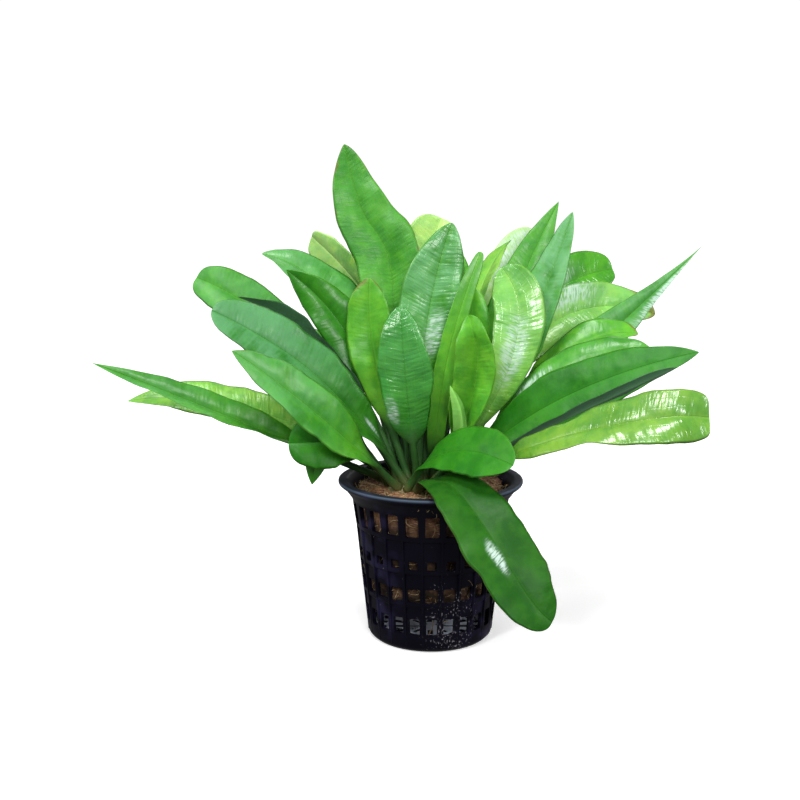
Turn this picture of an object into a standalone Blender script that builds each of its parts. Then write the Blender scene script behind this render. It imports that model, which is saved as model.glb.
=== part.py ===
"""Potted echinodorus: a rosette of sword-shaped leaves growing from rockwool in a black net pot.

Metres, +Z up. The origin is the middle of the pot's underside, +X is to the right and -Y is the
front. Every separate piece is one object: the pot, the rockwool plug, the crown that the leaves
grow from, and each leaf with its own stalk.
"""
import math
from dataclasses import dataclass

import bmesh
import bpy
import numpy as np
from mathutils import Matrix

MM = 0.001
NAME = "potted_echinodorus"

# Net pot: a flanged rim over four stepped tiers, each with one row of slots
SIDES = 24
POT_HEIGHT = 48 * MM
RIM_RADIUS = 27.5 * MM
MOUTH_RADIUS = 24.3 * MM
LIP = 0.4 * MM
NECK_HEIGHT = 43.8 * MM
FLOOR = 1.6 * MM
FOOT_RADIUS = 17.2 * MM
INSIDE_TOP_RADIUS = 21.8 * MM
INSIDE_FLOOR_RADIUS = 17.5 * MM
INSIDE_FLOOR_HEIGHT = 3.0 * MM
FLOOR_FILLET = 0.9 * MM
THROAT_DROP = 1.2 * MM
RIM_THICKNESS = 1.5 * MM
FLARE_WIDTH = 1.2 * MM
FLARE_DROP = 2.6 * MM
FOOT_BEVEL = 1.4 * MM
# height and radius of each tier's top and bottom edge, then its slots' bottom, top and width
TIERS = (
    (43.8 * MM, 23.3 * MM, 34.4 * MM, 22.2 * MM, 35.6 * MM, 42.0 * MM, 4.0 * MM),
    (34.0 * MM, 21.6 * MM, 24.4 * MM, 21.0 * MM, 25.6 * MM, 28.4 * MM, 2.7 * MM),
    (24.0 * MM, 20.4 * MM, 14.4 * MM, 19.9 * MM, 15.6 * MM, 19.9 * MM, 3.7 * MM),
    (14.0 * MM, 19.5 * MM, 4.0 * MM, 19.0 * MM, 5.5 * MM, 10.6 * MM, 3.1 * MM),
)
SLOT_REACH = (15 * MM, 26 * MM)
FLOOR_SLOTS = 8
FLOOR_SLOT = (8 * MM, 14 * MM, 2.5 * MM)

# Rockwool plug inside the pot, with a hollow that the crown sits in
GAP = 0.3 * MM
WOOL_BOTTOM = 12 * MM
WOOL_SHOULDER = 42 * MM
WOOL_TOP = 45.2 * MM
WOOL_TOP_RADIUS = 18.5 * MM

# Crown: the squat base of the plant, a little left of and behind the pot's middle
CROWN_CENTRE = (-3 * MM, 3 * MM)
CROWN_RADIUS = 11.7 * MM
CROWN_BOTTOM = 41.3 * MM
CROWN_TOP = 46.4 * MM
CROWN_SIDES = 16
CROWN_BEVEL = 1.2 * MM
CROWN_TAPER = 2.5 * MM
HOLLOW_RADIUS = 12.3 * MM

# Leaves stand in rings round the crown: ring radius, places round the ring, angle of the first
LEAF_FOOT = 46.8 * MM
RINGS = {
    "outer": (9.7 * MM, 22, 262),
    "middle": (6.8 * MM, 14, 265),
    "inner": (4.0 * MM, 8, 315),
    "heart": (1.5 * MM, 2, 200),
}
STALK_RADIUS = 1.05 * MM
BLADE_HALF_THICKNESS = 0.36 * MM
POINTS_ROUND = 8
STALK_STATIONS = (0, 0.5, 1)
BLADE_STATIONS = (0.10, 0.24, 0.40, 0.57, 0.74, 0.89)
STALK_FADE = 1.1        # how soon the stalk's own width fades out along the blade
FLAT_BY = 4             # the blade is flat by 1/4 of its length, and folded by 1/6
FOLDED_BY = 6
TURN_BY = 0.35          # share of the length over which the blade turns
TURN_FROM = 0.4         # share of the stalk where the turn starts
NEARBY = 0.004          # share of the length used on each side to find the direction
SWING = (0.40, 0.62, 0.66, 0.80)
SWING_BACK = (0.72, 0.84, 0.88, 1.0, 0.3)

FRESH = (0.13, 0.36, 0.045)
DEEP = (0.055, 0.20, 0.035)
PALE = (0.26, 0.50, 0.11)
POT_BLACK = (0.012, 0.013, 0.018)
WOOL_BROWN = (0.23, 0.15, 0.085)
CROWN_PALE = (0.42, 0.45, 0.24)


@dataclass
class Leaf:
    """One leaf. Its midrib runs from its place on a ring through mid to tip (millimetres)."""
    ring: str
    place: int
    mid: tuple
    tip: tuple
    width: float
    roll: float = 0         # turn of the blade about its midrib, degrees
    twist: float = 0        # further turn by the time it reaches the tip, degrees
    fold: float = 16        # how far each half lifts along the midrib, degrees
    stalk: float = 0.25     # share of the length that is bare stalk
    point: float = 0.7      # small for a blunt tip, 1 or more for a drawn-out one
    rise: float = 0         # extra height of the lower bend, millimetres
    nod: float = 0          # extra height of the upper bend, millimetres
    face: float = None      # direction the upper side faces, degrees, where roll doesn't set it
    belly: float = 0.95     # larger for a blade that is widest nearer its tip
    sway: float = 0         # how far the blade swings aside and back again, millimetres
    colour: tuple = FRESH


LEAVES = (
    # Outer ring, from the front round by the right: front right and hanging leaves
    Leaf("outer", 0, (13, -39, 41), (30.5, -50, 21.5), 18.5, 15, 10, fold=10, stalk=0.02, point=0.42,
         rise=20, nod=-10, belly=0.8, colour=DEEP),
    Leaf("outer", 1, (36, -35, 68), (70, -47, 76), 15.5, 20, 40, fold=12, stalk=0.18, point=0.18,
         belly=1.0),
    Leaf("outer", 2, (33, -23, 69), (65, -30, 85.5), 6, -12, -20, stalk=0.3, point=0.6, colour=DEEP),
    Leaf("outer", 3, (37, -15, 76.5), (72, -25, 89), 16, 72, -10, fold=6, stalk=0.12, point=0.8, nod=-4,
         belly=0.8, colour=DEEP),
    Leaf("outer", 4, (35, -4, 79), (63, -8, 87), 14, 40, stalk=0.22, rise=-3),
    Leaf("outer", 5, (36, 6, 82), (62, 8, 90), 13, 40, -10, stalk=0.45, point=0.6, rise=-3,
         colour=PALE),
    Leaf("outer", 6, (46, 14, 85), (83, 16, 117), 15, 50, 10, fold=28, point=1.7, nod=-8, belly=0.8),
    Leaf("outer", 7, (34, 22, 89), (71, 27, 94), 17, 45, 20, point=0.6, colour=PALE),
    Leaf("outer", 8, (28, 30, 90), (60, 42, 107), 17, 45, stalk=0.4, point=0.35),
    # Outer ring, back
    Leaf("outer", 9, (24, 36, 78), (43, 60, 85), 17, stalk=0.3),
    Leaf("outer", 10, (10, 40, 74), (18, 68, 78), 17, stalk=0.3),
    Leaf("outer", 11, (-4, 38, 84), (-6, 62, 95), 17, stalk=0.3, colour=DEEP),
    Leaf("outer", 12, (-20, 36, 74), (-30, 60, 75), 17, stalk=0.3),
    Leaf("outer", 13, (-34, 28, 80), (-58, 48, 88), 17, stalk=0.3),
    # Outer ring, left
    Leaf("outer", 14, (-40, 16, 85), (-72.5, 26, 105.5), 16, -50, fold=12, stalk=0.2, point=0.35),
    Leaf("outer", 15, (-52, 5, 67), (-91, 6, 70), 14, -42, stalk=0.3, point=1, colour=PALE),
    Leaf("outer", 16, (-56, -4, 66), (-97, -10, 84), 11, -40, -20, fold=36, point=1.1),
    Leaf("outer", 17, (-27, -4, 63), (-35, -5, 47), 10, -60, stalk=0.3, point=0.9, colour=DEEP),
    Leaf("outer", 18, (-25, -9, 61), (-41, -12, 61), 16.5, -70, fold=12, stalk=0.35, point=0.5, rise=3,
         nod=-5, colour=DEEP),
    Leaf("outer", 20, (-32, -18.5, 70.5), (-54, -30, 90), 17, -62, fold=14, stalk=0.14, point=0.8,
         belly=0.8),
    Leaf("outer", 21, (6, -20, 57.5), (21, -36, 60), 15.5, 50, fold=10, stalk=0.1, point=0.5, rise=6,
         nod=2, colour=DEEP),
    # Middle ring, from the front round by the right
    Leaf("middle", 0, (-7.5, -11, 80), (-9, -10, 100), 15.5, fold=11, stalk=0.27, point=0.6, face=268,
         belly=0.6, colour=DEEP),
    Leaf("middle", 1, (8, -11, 62), (5, -14, 78), 5, -30, 70, stalk=0.4),
    Leaf("middle", 2, (12, -9, 76), (10, -13, 97), 15, 0, 25, fold=40, stalk=0.2, point=0.5, face=238),
    Leaf("middle", 3, (28, 8, 86), (42, 11, 126), 14, 62, -25, point=0.8, nod=6),
    Leaf("middle", 4, (24, 18, 96), (40, 27, 129), 13, 55, stalk=0.3, point=1.0),
    Leaf("middle", 5, (13, 22, 93), (26, 32, 117), 15, -15, stalk=0.4, point=0.8, colour=PALE),
    Leaf("middle", 6, (18, 35, 94), (35, 48, 119), 14, stalk=0.4, point=0.45, face=275, colour=PALE),
    Leaf("middle", 7, (4, 30, 90), (8, 52, 112), 17, stalk=0.4),
    Leaf("middle", 8, (-11, 32, 92), (-15, 54, 118), 16, stalk=0.4),
    Leaf("middle", 9, (-12, 20, 86), (-37, 34, 118), 15, -80, -30, fold=12, stalk=0.4, point=0.35,
         colour=PALE),
    Leaf("middle", 10, (-24, 18, 92.5), (-52, 26, 113), 16, -35, 10, stalk=0.3),
    Leaf("middle", 11, (-22, 7, 85), (-43, 10, 109), 14, -60, -35, fold=14, stalk=0.35, point=0.9,
         colour=DEEP),
    Leaf("middle", 12, (-28, 2, 83), (-56, -2, 102), 11, 18, stalk=0.3, point=0.8, colour=DEEP),
    Leaf("middle", 13, (-35, -6, 79), (-62, -12, 99), 18, -62, fold=18, stalk=0.13, point=0.42, rise=5,
         belly=0.75, colour=DEEP),
    # Inner ring, from the right round by the back
    Leaf("inner", 0, (23.5, -2, 85), (20.5, 4, 110), 15.5, fold=10, stalk=0.25, point=0.5, rise=-2,
         face=272, belly=1.2, colour=PALE),
    Leaf("inner", 1, (4, -6, 82), (14, -5, 115), 6, fold=10, stalk=0.12, point=0.35, face=266,
         belly=0.3),
    Leaf("inner", 2, (10, 8, 84), (12, 8, 104), 13, stalk=0.4, point=0.6, face=270),
    Leaf("inner", 3, (3, 18, 90), (6, 28, 118), 15, stalk=0.4),
    Leaf("inner", 4, (-3, 16, 95), (3.5, 22, 124), 20, stalk=0.4, point=0.4, face=270, colour=PALE),
    Leaf("inner", 5, (-13, 12, 102), (-26, 22, 146), 20, fold=14, stalk=0.2, point=0.75, rise=4, nod=-8,
         face=268, sway=-3),
    Leaf("inner", 6, (-16, 2, 81), (-18, 3, 107), 14, fold=14, stalk=0.28, point=0.6, face=265,
         belly=0.9),
    Leaf("inner", 7, (-2, 0, 88), (6, 2, 123), 18, fold=12, face=262, colour=DEEP),
    # Heart: the two youngest leaves
    Leaf("heart", 0, (-5, 4, 74), (-6, 4, 98), 7, stalk=0.4, colour=PALE),
    Leaf("heart", 1, (-1, 7, 70), (0, 8, 90), 6, stalk=0.4, colour=PALE),
)


def clear_scene():
    for item in list(bpy.data.objects):
        bpy.data.objects.remove(item, do_unlink=True)


def new_collection(name):
    collection = bpy.data.collections.new(name)
    bpy.context.scene.collection.children.link(collection)
    return collection


def principled(name, colour, roughness):
    material = bpy.data.materials.new(name)
    material.use_nodes = True
    shader = material.node_tree.nodes["Principled BSDF"]
    shader.inputs["Base Color"].default_value = (*colour, 1)
    shader.inputs["Roughness"].default_value = roughness
    shader.inputs["Metallic"].default_value = 0
    material.diffuse_color = (*colour, 1)
    return material


def new_object(name, mesh, collection, material=None):
    thing = bpy.data.objects.new(name, mesh)
    collection.objects.link(thing)
    if material:
        mesh.materials.append(material)
    return thing


def shade_round(mesh):
    mesh.shade_smooth()
    mesh.set_sharp_from_angle(angle=math.radians(35))


def turned(name, profile, sides, collection, material):
    """A profile of (radius, height) points turned about Z, from the top axis point round to the last."""
    mesh = bpy.data.meshes.new(name)
    points = [(radius, 0, height) for radius, height in profile]
    edges = [(k, k + 1) for k in range(len(points) - 1)]
    mesh.from_pydata(points, edges, [])
    thing = new_object(name, mesh, collection, material)
    screw = thing.modifiers.new("turn", "SCREW")
    screw.steps = sides
    screw.render_steps = sides
    screw.use_merge_vertices = True
    screw.merge_threshold = 0.00001
    screw.use_smooth_shade = True
    thing.rotation_euler.z = math.pi / sides
    return thing


def box_ring(name, count, near, far, low, high, width, collection):
    """A cutter of boxes that point outwards, evenly round the Z axis."""
    bm = bmesh.new()
    size = Matrix.Diagonal((far - near, width, high - low, 1))
    out = Matrix.Translation(((near + far) / 2, 0, (low + high) / 2))
    for k in range(count):
        spin = Matrix.Rotation(2 * math.pi * k / count, 4, "Z")
        bmesh.ops.create_cube(bm, size=1, matrix=spin @ out @ size)
    mesh = bpy.data.meshes.new(name)
    bm.to_mesh(mesh)
    bm.free()
    return as_cutter(new_object(name, mesh, collection))


def as_cutter(thing):
    thing.hide_render = True
    thing.display_type = "WIRE"
    return thing


def cut(thing, cutter):
    boolean = thing.modifiers.new(cutter.name, "BOOLEAN")
    boolean.operation = "DIFFERENCE"
    boolean.object = cutter


def make_pot(parts, cutters):
    profile = [
        (0, FLOOR),
        (INSIDE_FLOOR_RADIUS - FLOOR_FILLET, FLOOR),
        (INSIDE_FLOOR_RADIUS, INSIDE_FLOOR_HEIGHT),
        (INSIDE_TOP_RADIUS, NECK_HEIGHT),
        (MOUTH_RADIUS, POT_HEIGHT - THROAT_DROP),
        (MOUTH_RADIUS + LIP, POT_HEIGHT),
        (RIM_RADIUS - LIP, POT_HEIGHT),
        (RIM_RADIUS, POT_HEIGHT - LIP),
        (RIM_RADIUS - LIP / 2, POT_HEIGHT - RIM_THICKNESS),
        (MOUTH_RADIUS + FLARE_WIDTH, POT_HEIGHT - FLARE_DROP),
    ]
    for top, top_radius, bottom, bottom_radius, _low, _high, _width in TIERS:
        profile.append((top_radius, top))
        profile.append((bottom_radius, bottom))
    profile += [(FOOT_RADIUS + FOOT_BEVEL, FOOT_BEVEL), (FOOT_RADIUS, 0), (0, 0)]
    pot = turned("pot", profile, SIDES, parts, principled("pot", POT_BLACK, 0.3))
    near, far = SLOT_REACH
    for row, (_top, _top_radius, _bottom, _bottom_radius, low, high, width) in enumerate(TIERS, 1):
        cut(pot, box_ring(f"slots_row_{row}", SIDES, near, far, low, high, width, cutters))
    near, far, width = FLOOR_SLOT
    cut(pot, box_ring("floor_slots", FLOOR_SLOTS, near, far, -FLOOR, 2 * FLOOR, width, cutters))
    return pot


def inside_radius(height):
    """Radius of the pot's inner wall at a height."""
    share = (height - INSIDE_FLOOR_HEIGHT) / (NECK_HEIGHT - INSIDE_FLOOR_HEIGHT)
    return INSIDE_FLOOR_RADIUS + share * (INSIDE_TOP_RADIUS - INSIDE_FLOOR_RADIUS)


def make_rockwool(parts, cutters):
    profile = [
        (0, WOOL_TOP),
        (WOOL_TOP_RADIUS, WOOL_TOP),
        (inside_radius(WOOL_SHOULDER) - GAP, WOOL_SHOULDER),
        (inside_radius(WOOL_BOTTOM) - GAP, WOOL_BOTTOM),
        (0, WOOL_BOTTOM),
    ]
    wool = turned("rockwool", profile, SIDES, parts, principled("rockwool", WOOL_BROWN, 0.95))
    mesh = bpy.data.meshes.new("crown_hollow")
    bm = bmesh.new()
    low = CROWN_BOTTOM - GAP
    depth = 2 * (WOOL_TOP - low)
    place = Matrix.Translation((*CROWN_CENTRE, low + depth / 2))
    bmesh.ops.create_cone(bm, cap_ends=True, segments=CROWN_SIDES, radius1=HOLLOW_RADIUS,
                          radius2=HOLLOW_RADIUS, depth=depth, matrix=place)
    bm.to_mesh(mesh)
    bm.free()
    cut(wool, as_cutter(new_object("crown_hollow", mesh, cutters)))
    return wool


def make_crown(parts):
    profile = [
        (0, CROWN_TOP),
        (CROWN_RADIUS - CROWN_BEVEL, CROWN_TOP),
        (CROWN_RADIUS, CROWN_TOP - CROWN_BEVEL),
        (CROWN_RADIUS - CROWN_TAPER, CROWN_BOTTOM),
        (0, CROWN_BOTTOM),
    ]
    crown = turned("crown", profile, CROWN_SIDES, parts, principled("crown", CROWN_PALE, 0.6))
    crown.rotation_euler.z = 0
    crown.location = (*CROWN_CENTRE, 0)
    return crown


def ease(x):
    """Smooth step from 0 to 1."""
    x = min(max(x, 0), 1)
    return x * x * (3 - 2 * x)


def unit(vector):
    return vector / np.linalg.norm(vector)


def on_ring(ring, place):
    radius, places, first = RINGS[ring]
    angle = math.radians(first + 360 * place / places)
    x, y = CROWN_CENTRE
    return np.array((x + radius * math.cos(angle), y + radius * math.sin(angle), LEAF_FOOT))


def midrib(leaf):
    """The leaf's centre line, as points at even steps of a cubic curve from foot to tip."""
    foot = on_ring(leaf.ring, leaf.place)
    tip = np.array(leaf.tip) * MM
    bow = 2 * np.array(leaf.mid) * MM - (foot + tip) / 2
    lower = foot + (bow - foot) * 2 / 3 + np.array((0, 0, leaf.rise * MM))
    upper = tip + (bow - tip) * 2 / 3 + np.array((0, 0, leaf.nod * MM))
    t = np.linspace(0, 1, 200)[:, None]
    return ((1 - t) ** 3 * foot + 3 * (1 - t) ** 2 * t * lower
            + 3 * (1 - t) * t ** 2 * upper + t ** 3 * tip)


def along(points, share):
    """The place and direction at a share of the centre line's length."""
    steps = np.linalg.norm(np.diff(points, axis=0), axis=1)
    lengths = np.concatenate(([0], np.cumsum(steps))) / steps.sum()

    def at(s):
        return np.array([np.interp(s, lengths, points[:, axis]) for axis in range(3)])

    return at(share), unit(at(min(share + NEARBY, 1)) - at(max(share - NEARBY, 0)))


def half_width(leaf, blade_share):
    """Half the leaf's width: the stalk's radius, then the blade, widest before its middle."""
    rise, fall = leaf.belly, leaf.point
    peak = (rise / (rise + fall)) ** rise * (fall / (rise + fall)) ** fall
    blade = blade_share ** rise * (1 - blade_share) ** fall / peak if blade_share > 0 else 0
    stalk = STALK_RADIUS * (1 - ease(blade_share * STALK_FADE))
    return math.hypot(stalk, leaf.width / 2 * MM * blade)


def swing(share):
    """How far along its sway the blade lies aside, and then back, at a share of the length."""
    def between(low, high):
        return ease((share - low) / (high - low))

    out_from, out_by, in_from, in_by = SWING
    back_from, back_by, home_from, home_by, back_size = SWING_BACK
    aside = between(out_from, out_by) * (1 - between(in_from, in_by))
    back = between(back_from, back_by) * (1 - between(home_from, home_by))
    return aside - back * back_size


def blade_axes(leaf, share, blade_share, direction):
    """The direction across the leaf and the direction out of its upper side."""
    if leaf.face is None:
        x, y = CROWN_CENTRE
        heading = math.atan2(leaf.tip[1] * MM - y, leaf.tip[0] * MM - x)
        across = np.array((-math.sin(heading), math.cos(heading), 0))
        across = unit(across - across.dot(direction) * direction)
        upper = np.cross(direction, across)
        turn = math.radians(leaf.roll * ease((share - leaf.stalk * TURN_FROM) / TURN_BY))
    else:
        facing = math.radians(leaf.face)
        upper = np.array((math.cos(facing), math.sin(facing), 0))
        upper = unit(upper - upper.dot(direction) * direction)
        across = np.cross(upper, direction)
        turn = math.radians(leaf.roll)
    turn += math.radians(leaf.twist * blade_share)
    return (across * math.cos(turn) + upper * math.sin(turn),
            upper * math.cos(turn) - across * math.sin(turn))


def leaf_section(leaf, centre, direction, share):
    """Points round the leaf: a round stalk, cut level at its foot, that flattens into the blade."""
    blade_share = max(share - leaf.stalk, 0) / (1 - leaf.stalk)
    across, upper = blade_axes(leaf, share, blade_share, direction)
    if share == 0:
        across = unit(across * (1, 1, 0))
        upper = np.cross((0, 0, 1), across)
    centre = centre + across * (leaf.sway * MM * swing(share))
    width = half_width(leaf, blade_share)
    thickness = STALK_RADIUS + (BLADE_HALF_THICKNESS - STALK_RADIUS) * ease(blade_share * FLAT_BY)
    fold = math.radians(leaf.fold) * ease(blade_share * FOLDED_BY)
    for k in range(POINTS_ROUND):
        angle = 2 * math.pi * k / POINTS_ROUND
        out = width * math.cos(angle)
        lift = abs(out) * math.sin(fold) + thickness * math.sin(angle)
        yield centre + across * (out * math.cos(fold)) + upper * lift


def make_leaf(leaf, name, parts):
    """A loft from the round stalk to the thin folded blade, ending in a point."""
    bm = bmesh.new()
    points = midrib(leaf)
    shares = [leaf.stalk * k for k in STALK_STATIONS]
    shares += [leaf.stalk + (1 - leaf.stalk) * k for k in BLADE_STATIONS]
    rings = []
    for share in shares:
        centre, direction = along(points, share)
        rings.append([bm.verts.new(p) for p in leaf_section(leaf, centre, direction, share)])
    tip = bm.verts.new(points[-1])
    for lower, upper in zip(rings, rings[1:]):
        for k in range(POINTS_ROUND):
            after = (k + 1) % POINTS_ROUND
            bm.faces.new((lower[k], lower[after], upper[after]))
            bm.faces.new((lower[k], upper[after], upper[k]))
    for k in range(POINTS_ROUND):
        bm.faces.new((rings[-1][k], rings[-1][(k + 1) % POINTS_ROUND], tip))
    bm.faces.new(reversed(rings[0]))
    mesh = bpy.data.meshes.new(name)
    bm.to_mesh(mesh)
    bm.free()
    shade_round(mesh)
    return new_object(name, mesh, parts, principled(name, leaf.colour, 0.4))


def main():
    clear_scene()
    parts = new_collection(NAME)
    cutters = new_collection("cutters")
    make_pot(parts, cutters)
    make_rockwool(parts, cutters)
    make_crown(parts)
    counts = dict.fromkeys(RINGS, 0)
    for leaf in LEAVES:
        counts[leaf.ring] += 1
        make_leaf(leaf, f"{leaf.ring}_leaf_{counts[leaf.ring]:02d}", parts)


if __name__ == "__main__":
    main()
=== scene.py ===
"""Potted echinodorus: the visible leaves, crown, rockwool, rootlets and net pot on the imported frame.

Metres, +Z up. The origin is the middle of the pot's underside, +X is to the right and -Y the front.
"""
import math
import random
from dataclasses import dataclass

import bmesh
import bpy
from mathutils import Matrix, Vector, noise


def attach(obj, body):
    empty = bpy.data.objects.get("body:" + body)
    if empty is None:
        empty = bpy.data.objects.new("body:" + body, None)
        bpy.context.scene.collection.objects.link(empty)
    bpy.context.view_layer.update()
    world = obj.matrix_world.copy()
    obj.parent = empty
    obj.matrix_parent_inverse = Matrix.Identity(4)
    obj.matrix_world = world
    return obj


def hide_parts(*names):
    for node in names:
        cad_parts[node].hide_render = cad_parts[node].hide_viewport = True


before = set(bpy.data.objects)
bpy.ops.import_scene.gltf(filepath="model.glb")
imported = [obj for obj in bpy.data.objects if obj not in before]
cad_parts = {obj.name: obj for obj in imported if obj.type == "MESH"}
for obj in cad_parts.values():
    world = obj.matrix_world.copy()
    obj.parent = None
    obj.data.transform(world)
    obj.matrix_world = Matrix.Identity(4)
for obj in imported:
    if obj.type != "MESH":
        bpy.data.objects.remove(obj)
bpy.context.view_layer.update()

bl_info = {
    "name": "Potted echinodorus",
    "version": (1, 0, 0),
    "blender": (4, 5, 0),
    "location": "3D View > Sidebar > Echinodorus",
    "description": "Builds a potted aquarium sword plant piece by piece on its packed frame",
    "category": "Add Mesh",
}

MM = 0.001
DEGREE = math.radians(1)
FULL_TURN = 2 * math.pi


def mm(*sizes):
    return tuple(size * MM for size in sizes)


# The crown stands a little left of and behind the pot's middle. Its profile: radii and heights
CROWN_CENTRE = mm(-3, 3)
CROWN_PROFILE = (
    mm(0, 46.6), mm(8.6, 46.5), mm(11.0, 45.2), mm(11.2, 43.4), mm(9.0, 41.5), mm(0, 41.4),
)

# Leaves stand on rings round the crown: radius, number of places and direction of the first, degrees
RINGS = {
    "outer": (9.7 * MM, 22, 262),
    "middle": (6.8 * MM, 14, 265),
    "inner": (4.0 * MM, 8, 315),
    "heart": (1.5 * MM, 2, 200),
}
LEAF_FOOT = 46.8 * MM
FOOT_SUNK = 1.3 * MM        # how far the visible stalks go down into the crown

# Leaf shape, as in the solids. Shares are of a leaf's whole length
FLAT_BY = 4.0               # the blade is flat by 1/4 of its length, and folded by 1/6
FOLDED_BY = 6.0
STALK_FADE = 1.1            # how soon the stalk's own width fades out along the blade
TURN_FROM = 0.4             # share of the stalk where the turn starts
TURN_BY = 0.35              # share of the length over which the blade turns
# Where a leaf that sways starts to swing aside, is there, starts back and is back on its midrib
SWING = (0.40, 0.62, 0.66, 0.80)
SWING_BACK = (0.72, 0.84, 0.88, 1.0)
SWING_BACK_SIZE = 0.3

# Leaf shape of the scene's own
STEPS_ROUND = 56
STEP_CROWDING = 1.5         # above 1 for sections that crowd at the tip
POINT_CROWDING = 1.35       # above 1 for points that crowd at the midrib
TIP_SHARE = 0.99999         # points past this share of the length merge into the tip
SHEATH = 0.35               # how much thicker a stalk is at its foot, up to SHEATH_END
SHEATH_END = 0.10
SIDE_WANDER = 0.36          # how far the blade's outline wanders, share of its width
TURN_WANDER = 0.7           # how far its turn wanders, radians
LEAN = 1.6                  # how far a leaf strays from its midrib's curve, millimetres
LONG_VEINS = 2.9            # gaps between main veins from the midrib to the edge
RUNG_GAP = 1.25             # distance between the painted cross veins, millimetres
TIP_CURL = (0.86, 1.0)      # share of the blade where its tip starts and ends to curl

# The leaf tree's inputs that a Leaf sets, with the unit of each, and those that LeafLook sets
LEAF_INPUTS = {
    "Width": MM, "Stalk": 1, "Point": 1, "Roll": DEGREE, "Twist": DEGREE, "Fold": DEGREE,
    "Arch": DEGREE, "Wave": 1, "Drop": 1, "Sway": MM, "Belly": 1, "Veins": 1, "Age": 1, "Gloss": 1,
    "Pale": 1,
}
LOOK_INPUTS = ("Stalk radius", "Half thickness", "Midrib size", "Vein gap")

# Leaf colours: what a leaf's green is multiplied by, and what is added to it where it pales
SUNNY = (1.75, 1.25, 1.4)       # large lighter patches, and darker ones
DUSKY = (0.45, 0.66, 0.7)
LIGHT_MOTTLE = (1.6, 1.22, 1.0)     # small ones
DARK_MOTTLE = (0.50, 0.70, 0.85)
BETWEEN_VEINS = (0.45, 0.58, 0.45)
LONG_VEIN = (1.3, 1.15, 1.3)
RIB_FLANK = (1.6, 1.25, 1.8)
# The silvery green that a painted sheen adds
PAINTED_SHEEN = (0.14, 0.27, 0.20)
MARGIN = (0.08, 0.10, 0.03)
UNDERSIDE = (0.05, 0.09, 0.05)
UNDER_RIB = (0.08, 0.12, 0.06)

# Net pot: its inside and rim
POT_SIDES = 24
POT_STEPS = 192
NECK_HEIGHT = 43.8 * MM
NECK_BEND = 2.0 * MM
INSIDE_TOP_RADIUS = 21.8 * MM
INSIDE_FLOOR_RADIUS = 17.5 * MM
INSIDE_FLOOR_HEIGHT = 3.0 * MM
FLOOR_FILLET = 0.9 * MM
MOUTH_INSET = 0.9 * MM
MOUTH_DROP = 1.8 * MM
LIP = 0.4 * MM
RIM_EDGE = 0.1 * MM
RIM_THICKNESS = 0.9 * MM
FLARE_WIDTH = 1.3 * MM
FLARE_DROP = 2.4 * MM
THROAT_WIDTH = 0.1 * MM
THROAT_DROP = 1.2 * MM
FOOT_BEVEL = 1.4 * MM
CORNER_RADIUS = 0.6 * MM
RIB_TOP = mm(22.35, 0, 42.8)
RIB_BOTTOM = mm(18.05, 0, 1.8)
# Each tier's height and radius at its top and at its bottom, then its slots' bottom, top and width
TIERS = (
    mm(43.8, 23.3, 34.4, 22.2, 35.6, 42.0, 4.0),
    mm(34.0, 21.6, 24.4, 21.0, 25.6, 28.4, 2.7),
    mm(24.0, 20.4, 14.4, 19.9, 15.6, 19.9, 3.7),
    mm(14.0, 19.5, 4.0, 19.0, 5.5, 10.6, 3.1),
)
SLOT_REACH = mm(15, 26)
# Rings of slots in the floor: how many, from which radius to which, and how wide
FLOOR_SLOTS = ((8, *mm(3.2, 7.2, 1.6)), (16, *mm(8.0, 12.4, 2.3)), (24, *mm(13.2, 16.4, 2.6)))

# Rockwool plug: heights of its edge, and how far it goes past the pot's inner wall there
WOOL_TOP = mm(45.2, 0.4)
WOOL_SHOULDER = mm(42, -0.7)
WOOL_BOTTOM = mm(12, -1.1)
WOOL_SUNK = 0.4 * MM
# Lumps: how far they stand out, how wide they are, and their seed, with ever finer ones on them
OCTAVES = 4
WOOL_LUMPS = ((*mm(1.9, 8), 3.1), (*mm(0.5, 2.4), 8.4))
CROWN_LUMPS = (*mm(0.4, 2.4), 5.7)
# Loose fibres on the plug: how many a square metre, from which height to which, and their seed
FIBRE_SIZE = {"Length": 3.2 * MM, "Radius": 0.07 * MM, "Lift": 0.5 * MM}
FIBRES = {
    "visible_wool_fibres": (6.0e5, 43 * MM, 60 * MM, 5),
    "visible_wool_threads": (1.6e5, 13 * MM, 43 * MM, 9),
}

# Roots below the plug: each takes ROOT_STEPS steps down and round from its start
ROOTS = 26
ROOT_STEPS = 5
ROOT_TOP = 13.5 * MM
ROOT_REACH = 17.2 * MM

# Lights: where they stand, size in metres (degrees for the suns) and power
PLANT_MIDDLE = (0, 0, 80 * MM)
SUNS = {
    "overhead": ((-0.20, -0.25, 1.0), 16, 2.0),
    "behind": ((0.35, 0.8, 0.55), 30, 0.45),
}
LAMPS = {
    "front": ((-0.35, -0.55, 0.60), 0.16, 2.6),
    "window": ((0.10, -0.62, 0.30), 0.14, 1.6),
    "left": ((-0.7, -0.1, 0.40), 0.25, 1.0),
    "right": ((0.7, -0.2, 0.42), 0.25, 2.2),
}
SKY_LIGHT = 0.22            # strength of the white background's light
SKY_SEEN = 0.83             # and how much brighter the camera sees it
FLOOR_GLOW = 0.42           # light that the floor gives off, so that it looks white

# The camera that took the photograph, worked out from the pot's rim and foot
EYE = mm(-9.1, -340.7, 131.5)
EYE_PITCH = 80 * DEGREE
FOCAL_PIXELS = 1174
PICTURE_PIXELS = 800
SENSOR = 36                 # millimetres


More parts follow.
